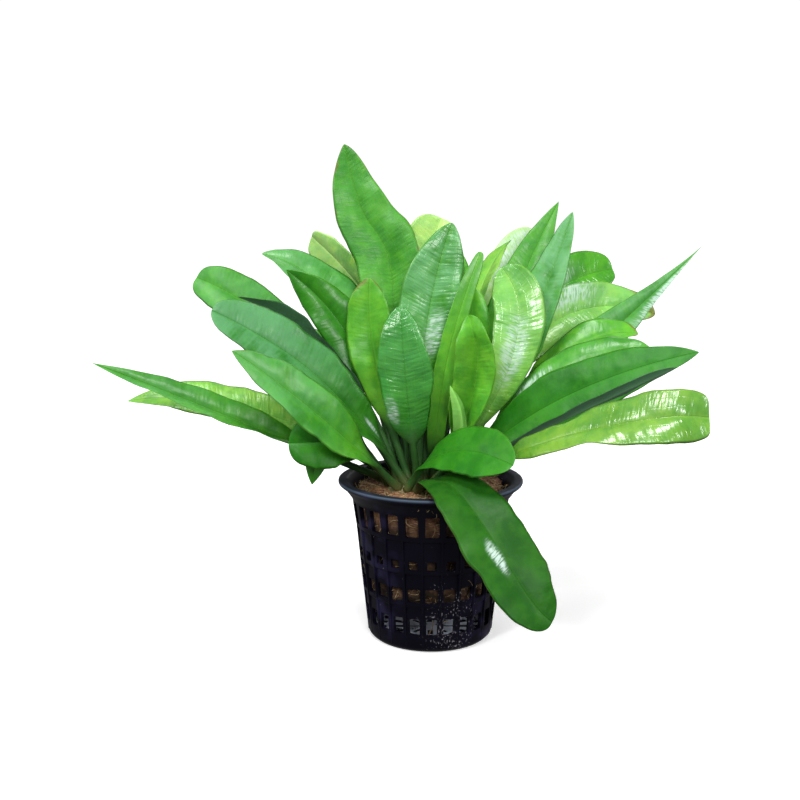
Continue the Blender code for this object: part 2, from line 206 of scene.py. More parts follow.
@dataclass
class Leaf:
    """One leaf. Its midrib runs from its place on a ring through mid to tip (millimetres)."""
    ring: str
    place: int
    mid: tuple
    tip: tuple
    width: float
    roll: float = 0         # turn of the blade about its midrib, degrees
    twist: float = 0        # further turn by the time it reaches the tip, degrees
    fold: float = 14        # how far each half lifts along the midrib, degrees
    stalk: float = 0.25     # share of the length that is bare stalk
    point: float = 0.7      # small for a blunt tip, 1 or more for a drawn-out one
    rise: float = 0         # extra height of the lower bend, millimetres
    nod: float = 0          # extra height of the upper bend, millimetres
    face: float = None      # direction the upper side faces, degrees, where roll doesn't set it
    green: str = "fresh"    # which of the leaf greens
    arch: float = 25        # how far each half bends over between midrib and edge, degrees
    wave: float = 1.5       # height of the margin's waves, millimetres
    sway: float = 0         # how far the blade swings aside and back again, millimetres
    belly: float = 0.95     # larger for a blade that is widest nearer its tip
    drop: float = 0         # how far the very tip curls away, millimetres
    veins: float = 0.2      # how strongly the cross veins stand out
    age: float = 0          # how far the tip and margin have browned, 0 to 1
    gloss: float = 0.5      # 0 for a dull blade, 1 for a shining one
    pale: float = 0         # how much painted sheen, a silvery green, lies over the blade, 0 to 1
    gleam: tuple = (0, 0, 0)    # painted highlight: share along the blade, side (-1 to 1) and reach


LEAVES = (
    # Outer ring, from the front round by the right: front right and hanging leaves
    # The low leaves in front, outer places 0, 18 and 21, have darker greens: partly painted shade, for the
    # light that falls off towards the pot
    Leaf("outer", 0, (13, -39, 41), (30.5, -50, 21.5), 18.5, 15, 10, fold=8, stalk=0.02, point=0.42,
         rise=20, nod=-10, green="dark", arch=14, wave=0.8, veins=0.1, gloss=0.05, belly=0.8,
         gleam=(0.69, -0.18, 0.10)),
    Leaf("outer", 1, (36, -35, 68), (70, -47, 76), 15.5, 20, 40, fold=10, stalk=0.18, point=0.18,
         green="olive", wave=3.0, drop=2.5, veins=0.35, belly=1.0, gloss=1.0, pale=0.1),
    Leaf("outer", 2, (33, -23, 69), (65, -30, 85.5), 6, -12, -20, stalk=0.3, point=0.6, green="shade",
         gloss=0.8),
    Leaf("outer", 3, (37, -15, 76.5), (72, -25, 89), 16, 72, -10, fold=4, stalk=0.12, point=0.8, nod=-4,
         green="deep", arch=16, wave=0.9, veins=0.1, gloss=0.12, belly=0.8, pale=0.08),
    Leaf("outer", 4, (35, -4, 79), (63, -8, 87), 14, 40, stalk=0.22, rise=-3, pale=0.1,
         gleam=(0.40, 0.45, 0.16)),
    Leaf("outer", 5, (36, 6, 82), (62, 8, 90), 13, 40, -10, stalk=0.45, point=0.6, rise=-3,
         green="bright", age=0.6),
    Leaf("outer", 6, (46, 14, 85), (83, 16, 117), 15, 50, 10, fold=26, point=1.7, nod=-8, belly=0.8,
         pale=0.5, gloss=0.3, gleam=(0.80, -0.80, 0.30)),
    Leaf("outer", 7, (34, 22, 89), (71, 27, 94), 17, 45, 20, point=0.6, green="lime", age=0.7, pale=0.3,
         gloss=0.7, veins=0.5, gleam=(0.58, 0.70, 0.24)),
    Leaf("outer", 8, (28, 30, 90), (60, 42, 107), 17, 45, stalk=0.4, point=0.35, gloss=0.9, veins=0.5,
         gleam=(0.62, 0.45, 0.24)),
    # Outer ring, back
    Leaf("outer", 9, (24, 36, 78), (43, 60, 85), 17, stalk=0.3),
    Leaf("outer", 10, (10, 40, 74), (18, 68, 78), 17, stalk=0.3, green="bright"),
    Leaf("outer", 11, (-4, 38, 84), (-6, 62, 95), 17, stalk=0.3, green="deep"),
    Leaf("outer", 12, (-20, 36, 74), (-30, 60, 75), 17, stalk=0.3),
    Leaf("outer", 13, (-34, 28, 80), (-58, 48, 88), 17, stalk=0.3, age=0.5),
    # Outer ring, left
    Leaf("outer", 14, (-40, 16, 85), (-72.5, 26, 105.5), 16, -50, fold=10, stalk=0.2, point=0.35,
         pale=0.25, wave=0.6, veins=0.1, gloss=0.15),
    Leaf("outer", 15, (-52, 5, 67), (-91, 6, 70), 14, -42, stalk=0.3, point=1, green="lime", veins=0.6),
    Leaf("outer", 16, (-56, -4, 66), (-97, -10, 84), 11, -40, -20, fold=34, point=1.1, pale=0.3,
         wave=1.4),
    Leaf("outer", 17, (-27, -4, 63), (-35, -5, 47), 10, -60, stalk=0.3, point=0.9, green="deep"),
    Leaf("outer", 18, (-25, -9, 61), (-41, -12, 61), 16.5, -70, fold=10, stalk=0.35, point=0.5, rise=3,
         nod=-5, green="deep", wave=1.3, gloss=0.1),
    Leaf("outer", 20, (-32, -18.5, 70.5), (-54, -30, 90), 17, -62, fold=12, stalk=0.14, point=0.8,
         age=0.3, belly=0.8, pale=0.4, veins=0.1, gloss=0.35),
    Leaf("outer", 21, (6, -20, 57.5), (21, -36, 60), 15.5, 50, fold=8, stalk=0.1, point=0.5, rise=6,
         nod=2, green="deep", arch=14, wave=0.7, veins=0.1, gloss=0.2),
    # Middle ring, from the front round by the right
    Leaf("middle", 0, (-7.5, -11, 80), (-9, -10, 100), 15.5, face=268, fold=9, stalk=0.27, point=0.6,
         green="bluish", veins=0.65, gloss=0.95, arch=16, belly=0.6, pale=0.2, gleam=(0.27, 0.75, 0.15)),
    Leaf("middle", 1, (8, -11, 62), (5, -14, 78), 5, -30, 70, stalk=0.4, green="lime"),
    Leaf("middle", 2, (12, -9, 76), (10, -13, 97), 15, face=238, twist=25, fold=38, stalk=0.2, point=0.5,
         green="bright", veins=0.3, wave=1.6, drop=3),
    Leaf("middle", 3, (28, 8, 86), (42, 11, 126), 14, 62, -25, point=0.8, nod=6, pale=0.8),
    Leaf("middle", 4, (24, 18, 96), (40, 27, 129), 13, 55, stalk=0.3, point=1.0, pale=0.15),
    Leaf("middle", 5, (13, 22, 93), (26, 32, 117), 15, -15, stalk=0.4, point=0.8, green="lime", age=0.6),
    Leaf("middle", 6, (18, 35, 94), (35, 48, 119), 14, face=275, stalk=0.4, point=0.45, green="pale",
         pale=0.7, gleam=(0.80, 0.20, 0.45)),
    Leaf("middle", 7, (4, 30, 90), (8, 52, 112), 17, stalk=0.4),
    Leaf("middle", 8, (-11, 32, 92), (-15, 54, 118), 16, stalk=0.4, green="bright"),
    Leaf("middle", 9, (-12, 20, 86), (-37, 34, 118), 15, -80, -30, fold=10, stalk=0.4, point=0.35,
         green="pale", pale=0.5),
    Leaf("middle", 10, (-24, 18, 92.5), (-52, 26, 113), 16, -35, 10, stalk=0.3, pale=0.45, wave=1.5),
    Leaf("middle", 11, (-22, 7, 85), (-43, 10, 109), 14, -60, -35, fold=12, stalk=0.35, point=0.9,
         green="deep"),
    Leaf("middle", 12, (-28, 2, 83), (-56, -2, 102), 11, 18, stalk=0.3, point=0.8, green="shade",
         gloss=0.2),
    Leaf("middle", 13, (-35, -6, 79), (-62, -12, 99), 18, -62, fold=16, stalk=0.13, point=0.42, rise=5,
         green="deep", pale=0.6, wave=0.9, belly=0.75, gloss=0.4, gleam=(0.16, -0.30, 0.07)),
    # Inner ring, from the right round by the back
    Leaf("inner", 0, (23.5, -2, 85), (20.5, 4, 110), 15.5, face=272, fold=8, stalk=0.25, point=0.5,
         rise=-2, green="lime", veins=0.4, gloss=1.0, arch=14, wave=0.9, belly=1.2, pale=0.3,
         gleam=(0.52, 0.05, 0.30)),
    Leaf("inner", 1, (4, -6, 82), (14, -5, 115), 6, face=266, fold=8, stalk=0.12, point=0.35,
         green="bright", belly=0.3, arch=8, veins=0.1, wave=0.6),
    Leaf("inner", 2, (10, 8, 84), (12, 8, 104), 13, face=270, stalk=0.4, point=0.6, green="bright"),
    Leaf("inner", 3, (3, 18, 90), (6, 28, 118), 15, stalk=0.4),
    Leaf("inner", 4, (-3, 16, 95), (3.5, 22, 124), 20, face=270, stalk=0.4, point=0.4, green="pale",
         wave=1.8, pale=0.3),
    Leaf("inner", 5, (-13, 12, 102), (-26, 22, 146), 20, face=268, fold=12, stalk=0.2, point=0.75, rise=4,
         nod=-8, wave=1.5, age=0.8, sway=-3, veins=0.4, gloss=0.35, pale=0.12),
    Leaf("inner", 6, (-16, 2, 81), (-18, 3, 107), 14, face=265, fold=12, stalk=0.28, point=0.6,
         green="bright", age=0.6, belly=0.9, gloss=0.35),
    Leaf("inner", 7, (-2, 0, 88), (6, 2, 123), 18, face=262, fold=10, veins=0.5, pale=0.7, arch=16,
         gloss=0.7, gleam=(0.44, -0.30, 0.18)),
    # Heart: the two youngest leaves
    Leaf("heart", 0, (-5, 4, 74), (-6, 4, 98), 7, stalk=0.4, green="lime"),
    Leaf("heart", 1, (-1, 7, 70), (0, 8, 90), 6, stalk=0.4, green="lime"),
)


# Node trees

def summing(operation, swapped=False):
    """A method that adds the node for one sum to its value's tree."""
    def work_out(value, *others):
        terms = (*others, value) if swapped else (value, *others)
        return value.tree.sum(operation, *terms)
    return work_out


class Value:
    """A number or vector inside a node tree. Arithmetic on it adds the nodes that work it out."""
    __add__ = summing("ADD")
    __radd__ = summing("ADD", swapped=True)
    __sub__ = summing("SUBTRACT")
    __rsub__ = summing("SUBTRACT", swapped=True)
    __mul__ = summing("MULTIPLY")
    __rmul__ = summing("MULTIPLY", swapped=True)
    __truediv__ = summing("DIVIDE")
    __pow__ = summing("POWER")
    __abs__ = summing("ABSOLUTE")
    at_least = summing("MAXIMUM")
    at_most = summing("MINIMUM")
    sign = summing("SIGN")
    root = summing("SQRT")
    exponent = summing("EXPONENT")
    sine = summing("SINE")
    cosine = summing("COSINE")
    arcsine = summing("ARCSINE")
    unit = summing("NORMALIZE")
    cross = summing("CROSS_PRODUCT")

    def __init__(self, tree, socket):
        self.tree = tree
        self.socket = socket

    def __gt__(self, other):
        return self.tree.out("FunctionNodeCompare", {0: self, 1: other}, operation="GREATER_THAN")

    def __and__(self, other):
        return self.tree.out("FunctionNodeBooleanMath", {0: self, 1: other})

    def dot(self, other):
        return self.tree.out("ShaderNodeVectorMath", {0: self, 1: other}, "Value",
                             operation="DOT_PRODUCT")

    def step(self, low=0.0, high=1.0):
        """0 where this is at low, 1 at high, eased between."""
        return self.tree.out("ShaderNodeMapRange", {0: self, 1: low, 2: high},
                             interpolation_type="SMOOTHSTEP")

    def fade(self, low=0.0, high=1.0):
        """1 where this is at low, 0 at high, eased between."""
        return 1.0 - self.step(low, high)

    def between(self, low, full, last, high):
        """Rises from 0 at low to 1 at full, and falls from 1 at last to 0 at high."""
        return self.step(low, full) * self.fade(last, high)

    def blend(self, other, share):
        return self + (other - self) * share

    def parts(self):
        split = self.tree.node("ShaderNodeSeparateXYZ", {0: self})
        return [Value(self.tree, socket) for socket in split.outputs]


class Tree:
    """A node tree being built: its nodes and the sums between them."""

    def __init__(self, group):
        self.group = group

    def feed(self, node, feeds):
        """Links a node's inputs to values, or sets them."""
        for key, value in feeds.items():
            if isinstance(value, Value):
                self.group.links.new(value.socket, node.inputs[key])
            else:
                node.inputs[key].default_value = value

    def node(self, kind, feeds=None, **settings):
        made = self.group.nodes.new(kind)
        for name, value in settings.items():
            setattr(made, name, value)
        self.feed(made, feeds or {})
        return made

    def out(self, kind, feeds=None, output=0, **settings):
        return Value(self, self.node(kind, feeds, **settings).outputs[output])

    def both(self, kind, feeds, *outputs, **settings):
        """Several outputs of one node."""
        made = self.node(kind, feeds, **settings)
        return [Value(self, made.outputs[output]) for output in outputs]

    def sum(self, operation, *terms):
        many = any(isinstance(term, tuple) or isinstance(term, Value)
                   and term.socket.type in ("VECTOR", "RGBA") for term in terms)
        if many:
            terms = [(term,) * 3 if isinstance(term, (int, float)) else term for term in terms]
        kind = "ShaderNodeVectorMath" if many else "ShaderNodeMath"
        return self.out(kind, dict(enumerate(terms)), operation=operation)

    def vector(self, x, y, z):
        return self.out("ShaderNodeCombineXYZ", {0: x, 1: y, 2: z})

    def noise(self, place, scale, detail=2.0, output=0):
        return self.out("ShaderNodeTexNoise", {"Vector": place, "Scale": scale, "Detail": detail},
                        output)

    def here(self):
        return self.out("ShaderNodeTexCoord", output="Object")

    def attribute(self, name, output="Vector"):
        return self.out("ShaderNodeAttribute", output=output, attribute_name=name)

    def mix(self, a, b, share):
        """From colour a to colour b, each worked out by nodes or given as red, green and blue."""
        a, b = (colour if isinstance(colour, Value) else (*colour, 1) for colour in (a, b))
        return self.out("ShaderNodeMix", {0: share, 6: a, 7: b}, output=2, data_type="RGBA")

    def layers(self, colour, *layers):
        """The colour with others laid over it in turn, each by its share."""
        for over, share in layers:
            colour = self.mix(colour, over, share)
        return colour

    def surface(self, shader, colour, roughness, height, depth, strength=1.0):
        """Gives a shader its colour and roughness, and bumps whose height of 1 is depth metres."""
        bump = self.out("ShaderNodeBump", {"Strength": strength, "Distance": depth, "Height": height})
        self.feed(shader, {"Base Color": colour, "Roughness": roughness, "Normal": bump})


class ShapeTree(Tree):
    """A Geometry Nodes tree with named inputs. It ends in Realize Instances and Set Material."""

    def __init__(self, name):
        super().__init__(bpy.data.node_groups.new(name, "GeometryNodeTree"))
        self.start = self.group.nodes.new("NodeGroupInput")

    def input(self, name, kind="Float"):
        self.group.interface.new_socket(name=name, in_out="INPUT", socket_type="NodeSocket" + kind)
        return Value(self, self.start.outputs[name])

    def inputs(self, *names, kind="Float"):
        return [self.input(name, kind) for name in names]

    def shape(self, kind, feeds=None, **settings):
        return self.out("GeometryNode" + kind, feeds, **settings)

    def place(self):
        return self.shape("InputPosition")

    def store(self, geometry, kind="FLOAT_VECTOR", **attributes):
        for name, value in attributes.items():
            feeds = {"Geometry": geometry, "Name": name, "Value": value}
            geometry = self.shape("StoreNamedAttribute", feeds, data_type=kind, domain="POINT")
        return geometry

    def random(self, low, high, seed):
        feeds = {2: low, 3: high, "Seed": seed}
        return self.out("FunctionNodeRandomValue", feeds, 1, data_type="FLOAT")

    def about_z(self, angle):
        return self.out("FunctionNodeEulerToRotation", {0: self.vector(0.0, 0.0, angle)})

    def sweep(self, path, profile, scale=1.0):
        return self.shape("CurveToMesh", {"Curve": path, "Profile Curve": profile, "Scale": scale,
                                          "Fill Caps": True})

    def tube(self, path, sides, radius, scale=1.0):
        ring = self.shape("CurvePrimitiveCircle", {"Resolution": sides, "Radius": radius})
        return self.sweep(path, ring, scale)

    def bar(self, start, end, width, height, corner):
        """A straight bar with rounded edges."""
        path = self.shape("CurvePrimitiveLine", {"Start": start, "End": end})
        profile = self.shape("CurvePrimitiveQuadrilateral", {"Width": width, "Height": height})
        soft = {"Curve": profile, "Radius": corner, "Count": 3}
        return self.sweep(path, self.shape("FilletCurve", soft, mode="POLY"))

    def ring(self, shape, count, first=0.0):
        """The shape repeated round Z. The first copy is turned by the share first of a step."""
        spots = self.shape("Points", {"Count": count})
        turn = (self.shape("InputIndex") + first) / count * FULL_TURN
        return self.shape("InstanceOnPoints", {"Points": spots, "Instance": shape,
                                               "Rotation": self.about_z(turn)})

    def end(self, geometry):
        smooth = self.shape("SetShadeSmooth", {0: geometry})
        real = self.shape("RealizeInstances", {0: smooth})
        material = self.input("Material", "Material")
        painted = self.shape("SetMaterial", {"Geometry": real, "Material": material})
        self.group.interface.new_socket(name="Geometry", in_out="OUTPUT",
                                        socket_type="NodeSocketGeometry")
        self.feed(self.group.nodes.new("NodeGroupOutput"), {0: painted})
        return self.group


def apply_tree(thing, group, values):
    """Runs a tree on an object with these inputs, and keeps the result as its plain mesh."""
    modifier = thing.modifiers.new(group.name, "NODES")
    modifier.node_group = group
    for item in group.interface.items_tree:
        if item.item_type == "SOCKET" and item.in_out == "INPUT" and item.name in values:
            modifier[item.identifier] = values[item.name]
    keep_shape(thing)


def keep_shape(thing):
    """Turns an object's evaluated shape into its plain mesh and drops its modifiers."""
    scene_graph = bpy.context.evaluated_depsgraph_get()
    made = bpy.data.meshes.new_from_object(thing.evaluated_get(scene_graph))
    made.name = thing.name
    old = thing.data
    thing.modifiers.clear()
    thing.data = made
    bpy.data.meshes.remove(old)


# Pieces

def new_object(name, data=None):
    thing = bpy.data.objects.new(name, data or bpy.data.meshes.new(name))
    bpy.context.scene.collection.objects.link(thing)
    return thing


def wire(name, points):
    """An object that is only a line through the points."""
    mesh = bpy.data.meshes.new(name)
    mesh.from_pydata(points, [(k, k + 1) for k in range(len(points) - 1)], [])
    return new_object(name, mesh)


def new_material(name):
    material = bpy.data.materials.new(name)
    material.use_nodes = True
    return material, Tree(material.node_tree), material.node_tree.nodes["Principled BSDF"]


def length(name, description, default):
    return bpy.props.FloatProperty(name=name, description=description, default=default, unit="LENGTH")


def shade(name, description, default):
    return bpy.props.FloatVectorProperty(name=name, description=description, default=default,
                                         subtype="COLOR", min=0, max=1)


def finish_piece(thing, slot, *nodes):
    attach(thing, "root")
    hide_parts(*nodes)


# Leaves

def leaf_tree():
    """One leaf: a round stalk that flattens into a folded, veined blade along its midrib."""
    tree = ShapeTree("leaf shape")
    foot, lower, upper_handle, tip, reference, seed, gleam = tree.inputs(
        "Foot", "Lower handle", "Upper handle", "Tip", "Reference", "Seed", "Gleam", kind="Vector")
    (width, stalk, point, roll, twist, fold, arch, wave, drop, sway, belly, veins, age, gloss,
     pale) = tree.inputs(*LEAF_INPUTS)
    stalk_radius, half_thickness, midrib_size, vein_gap = tree.inputs(*LOOK_INPUTS)
    facing = tree.input("Facing")
    green = tree.input("Green", "Color")
    steps_round, steps_along = tree.inputs("Steps round", "Steps along", kind="Int")

    def stray(x, y, z, detail=2.0):
        """Smooth noise round 0.5, another for each leaf."""
        return tree.noise(tree.vector(x, y, z) + seed, 1.0, detail)

    tube = tree.shape("MeshCylinder", {"Vertices": steps_round, "Side Segments": steps_along,
                                       "Radius": 1.0, "Depth": 1.0})
    x, y, z = tree.place().parts()
    share = 1.0 - (0.5 - z).at_least(0.0) ** STEP_CROWDING
    blade = (share - stalk).at_least(0.0) / (1.0 - stalk)
    flat = (blade * FLAT_BY).step()

    # The midrib, and the directions across and up from it
    rib = tree.shape("CurvePrimitiveBezierSegment", {"Resolution": 96, "Start": foot, "End": tip,
                                                     "Start Handle": lower, "End Handle": upper_handle})
    centre, direction = tree.both("GeometryNodeSampleCurve", {"Curves": rib, "Factor": share},
                                  "Position", "Tangent", mode="FACTOR")
    direction = direction.unit()
    rib_length = tree.shape("CurveLength", {0: rib})
    sideways = reference - direction * reference.dot(direction)
    across = sideways.blend(reference.cross(direction), facing).unit()
    upper = direction.cross(across)
    turn = roll * ((share - stalk * TURN_FROM) / TURN_BY).step() + twist * blade
    turn = turn + (stray(share * 3.0, 2.0, 5.0, 1.0) - 0.5) * blade.step(0.0, 0.3) * TURN_WANDER
    turned_across = across * turn.cosine() + upper * turn.sine()
    turned_upper = upper * turn.cosine() - across * turn.sine()

    # Half the width: the stalk's radius, then the blade, widest before its middle
    total = point + belly
    peak = ((belly / total) ** belly) * ((point / total) ** point)
    remains = (1.0 - blade).at_least(0.0)
    blade_half = width * 0.5 * (blade ** belly) * (remains ** point) / peak
    wander = stray(share * 6.5, x * 0.6, 0.0) - 0.5
    blade_half = blade_half * (1.0 + wander * SIDE_WANDER * flat)
    stalk_half = stalk_radius * (blade * STALK_FADE).fade()
    sheath = 1.0 + SHEATH * share.fade(0.0, SHEATH_END)
    half = ((stalk_half * sheath) ** 2.0 + blade_half ** 2.0).root()

    # Where a point lies across the leaf: evenly round the stalk, close together at the midrib
    even = x.at_least(-1.0).at_most(1.0).arcsine() * (2 / math.pi)
    gathered = even.sign() * (abs(even) ** POINT_CROWDING)
    v = x.blend(gathered, flat)
    wide = abs(v)
    side_mm = v * half / MM
    along_mm = share * rib_length / MM

    # Each half lifts and arches, and the midrib stands out, more so on the underside
    angle = (fold + arch * (1.0 - wide) * 0.5) * (blade * FOLDED_BY).step()
    thickness = (stalk_radius * sheath).blend(half_thickness, flat)
    thickness = thickness * (1.0 - blade ** 8.0).at_least(0.0).root()
    ridge = (side_mm * side_mm * -1.6).exponent() * flat * (remains ** 0.6)
    ridge = ridge * midrib_size * (0.35 + (0.5 - y * 0.5) * 0.65)

    # Main veins run along the blade, and cross veins climb outwards between them
    rows = (wide * LONG_VEINS * math.pi).sine()
    groove = abs(rows).fade(0.0, 0.35) * wide.step(0.12, 0.25)
    shift = stray(side_mm * 0.16, along_mm * 0.08, 0.0) * 6.0
    climb = along_mm - abs(side_mm) * 0.4 + shift
    swell = abs((climb / vein_gap * (math.pi * MM)).sine())
    quilt = swell.step(0.0, 0.8) * wide.between(0.06, 0.2, 0.8, 1.0)
    buckle = stray(side_mm * 0.12, along_mm * 0.20, 3.0) - 0.5
    relief = buckle * (0.6 + veins * 0.7) * wide.step(0.05, 0.3)
    relief = relief + (quilt * 0.04 - groove * 0.07) * veins
    relief = relief * flat * half.step(1.5 * MM, 5 * MM)

    # The margin ripples, the whole leaf leans a little, and the tip may curl
    ripple = (stray(along_mm * 0.068, v.sign() * 3.0, 0.5, 1.0) - 0.5) * 3.0 * wave
    ripple = ripple * (wide ** 2.5) * flat * half.step(1 * MM, 5 * MM)
    lean = (stray(share * 2.2, 7.0, 0.0, 0.0) - 0.5) * LEAN * (share * math.pi).sine()
    curl = blade.step(*TIP_CURL) ** 2.0 * drop
    lift = half * wide * angle.sine() + thickness * y - ridge
    lift = lift + (relief + ripple - curl + lean) * MM
    swing = (share.between(*SWING) - share.between(*SWING_BACK) * SWING_BACK_SIZE) * sway
    out = half * v * angle.cosine() + swing
    place = centre + turned_across * out + turned_upper * lift

    # The attributes are stored first, because they too are worked out from the tube's positions
    named = tree.store(tube, "FLOAT_COLOR", green=green)
    # The finish attribute carries the share of painted sheen, then the leaf's seed
    named = tree.store(named, blade=tree.vector(v, blade, y), gleam=gleam,
                       place=tree.vector(side_mm, along_mm, share),
                       habit=tree.vector(veins, age, gloss),
                       finish=tree.vector(pale, seed.parts()[0], 0.0))
    shaped = tree.shape("SetPosition", {"Geometry": named, "Position": place})
    stored = tree.shape("InputNamedAttribute", {0: "place"}, data_type="FLOAT_VECTOR")
    at_tip = stored.parts()[2] > TIP_SHARE
    closed = tree.shape("MergeByDistance", {"Geometry": shaped, "Selection": at_tip,
                                            "Distance": 0.05 * MM})
    return tree.end(closed)


def leaf_material(look):
    """Glossy green blade: dark midrib, cross veins, patches of painted silvery sheen, painted highlights,
    browned tips.
    """
    material, tree, shader = new_material("leaf")
    v, blade, y = tree.attribute("blade").parts()
    side, along, share = tree.attribute("place").parts()
    veins, age, gloss = tree.attribute("habit").parts()
    pale, number = tree.attribute("finish").parts()[:2]
    gleam_along, gleam_side, gleam_reach = tree.attribute("gleam").parts()
    green = tree.attribute("green", "Color")
    here = tree.here()
    wide = abs(v)
    flat = blade.step(0.02, 0.2)
    under = y.fade(-0.08, 0.02) * flat
    patch = tree.noise(here, 65.0)
    cloud = tree.noise(here, 160.0, 3.0)
    mottle = tree.noise(here, 330.0, 3.0)
    fine = tree.noise(here, 900.0, 3.0)

    # Cross veins: streaks that run out from the midrib, a little towards the tip
    climb = along - abs(side) * 0.30
    streaks = tree.noise(tree.vector(side * 0.16, climb * 0.85, number), 1.0, 3.0)
    drift = tree.noise(tree.vector(side * 0.10, climb * 0.12, number), 1.0, 1.0) * 9.0
    rungs = (climb * (FULL_TURN / RUNG_GAP) + drift).sine() * 0.5 + 0.5
    strength = tree.noise(here, 95.0).step(0.38, 0.60)
    cross_line = streaks.step(0.36, 0.64) * 0.72 + rungs * 0.28
    cross_line = cross_line * flat * (1.0 - wide.step(0.85, 1.0) * 0.7)
    dark_line = (1.0 - cross_line) * flat * (0.15 + strength * 0.85) * veins.at_most(1.3)
    rows = abs((wide * LONG_VEINS * math.pi).sine())
    long_line = rows.fade(0.0, 0.22) * flat * wide.step(0.1, 0.2)
    rib_line = abs(side).fade(0.06, 0.24) * flat
    rib_flank = abs(side).fade(0.24, 0.8) * flat

    # Painted sheen: silvery green laid in patches over the blade, away from its base
    painted_sheen = pale * (cloud * 0.5 + patch * 0.5 + cross_line * 0.08).step(0.30, 0.62)
    painted_sheen = painted_sheen * blade.step(0.20, 0.75)
    edge = wide.step(0.955, 1.0) * flat
    browning = (cloud + (wide ** 4.0) * 0.25 + (blade ** 8.0) * 0.45 + age * 0.25).step(1.04, 1.24)
    browning = browning * age.step(0.0, 0.25) * flat

    # Painted highlight: a crinkled white shine painted round the gleam's place, for leaves that have one
    off_along = blade - gleam_along
    off_side = (v - gleam_side) * 0.4
    away = (off_along * off_along + off_side * off_side).root()
    painted_highlight = away.fade(gleam_reach * 0.35, gleam_reach)
    feather = tree.noise(tree.vector(side * 0.45, climb * 2.0, number), 1.0)
    crinkle = (feather * 0.7 + cloud * 0.3 + painted_highlight * 0.10).step(0.50, 0.66)
    painted_highlight = painted_highlight * (0.12 + crinkle * 0.56) * (1.0 - under) * gleam_reach.step(0.0, 0.01)

    colour = tree.layers(
        green * (0.72 + cloud * 0.56),
        (green * SUNNY, patch.step(0.50, 0.68) * 0.6),
        (green * DUSKY, patch.fade(0.34, 0.50) * 0.7),
        (green * LIGHT_MOTTLE, mottle.step(0.50, 0.66) * 0.40),
        (green * DARK_MOTTLE, mottle.fade(0.36, 0.50) * 0.40),
        (green * BETWEEN_VEINS, dark_line * 0.60),
        (green * LONG_VEIN, long_line * 0.12),
        (green * 0.7 + PAINTED_SHEEN, painted_sheen),
        (green * RIB_FLANK, rib_flank * 0.30),
        (green * 0.5, rib_line * (0.05 + veins * 0.15)),
        (green * 1.25 + MARGIN, edge * 0.6),
        (green * 0.8 + UNDERSIDE, under * 0.7),
        (green * 1.1 + UNDER_RIB, rib_flank * under * 0.6),
        (look.browned, browning * 0.8),
        (look.painted_highlight, painted_highlight))
    # Painted shade, partly the leaf's own darker base: each blade darkens towards its foot, where the
    # leaves crowd round the crown
    colour = colour * (0.66 + blade.step(0.0, 0.50) * 0.34)
    stalk_green = tree.mix(look.stalk_dark, look.stalk_light, cloud)
    colour = tree.layers(stalk_green, (colour, blade.step(0.0, 0.18)),
                         (look.stalk_foot, share.fade(0.0, 0.09) * 0.6))

    roughness = 0.17 + (1.0 - gloss) * 0.22 + cloud * 0.10 + under * 0.16
    height = cross_line * veins * (0.35 + strength * 0.65) * 1.1 - long_line * veins * 0.2
    height = height - rib_line * 0.4 + fine * 0.05 + cloud
    tree.surface(shader, colour, roughness, height, 0.18 * MM)
    tree.feed(shader, {"Specular IOR Level": 0.12 + gloss * 0.55, "Subsurface Weight": 0.15,
                       "Subsurface Radius": (0.5, 1.0, 0.2), "Subsurface Scale": 0.35 * MM})
    return material


def on_ring(ring, place):
    """Where a leaf's stalk stands."""
    radius, places, first = RINGS[ring]
    angle = math.radians(first + 360 * place / places)
    return Vector((CROWN_CENTRE[0] + radius * math.cos(angle),
                   CROWN_CENTRE[1] + radius * math.sin(angle), LEAF_FOOT))


def leaf_values(leaf, number, look, material):
    """The leaf tree's inputs for one leaf."""
    foot = on_ring(leaf.ring, leaf.place)
    mid = Vector(leaf.mid) * MM
    tip = Vector(leaf.tip) * MM
    bow = 2 * mid - (foot + tip) / 2
    if leaf.face is None:
        outward = math.atan2(tip.y - CROWN_CENTRE[1], tip.x - CROWN_CENTRE[0])
        reference = (-math.sin(outward), math.cos(outward), 0)
    else:
        facing = math.radians(leaf.face)
        reference = (math.cos(facing), math.sin(facing), 0)
    reach = (mid - foot).length + (tip - mid).length
    values = {name: getattr(leaf, name.lower()) * unit for name, unit in LEAF_INPUTS.items()}
    values |= {name: getattr(look, name.lower().replace(" ", "_")) for name in LOOK_INPUTS}
    return values | {
        "Foot": foot - Vector((0, 0, FOOT_SUNK)),
        "Lower handle": foot + (bow - foot) * 2 / 3 + Vector((0, 0, leaf.rise * MM)),
        "Upper handle": tip + (bow - tip) * 2 / 3 + Vector((0, 0, leaf.nod * MM)),
        "Tip": tip, "Reference": reference, "Facing": float(leaf.face is not None),
        "Seed": (number * 3.7, number * 1.9, number * 5.3), "Gleam": leaf.gleam,
        "Green": (*getattr(look, leaf.green), 1), "Material": material,
        "Steps round": STEPS_ROUND, "Steps along": int(reach / look.station_gap),
    }


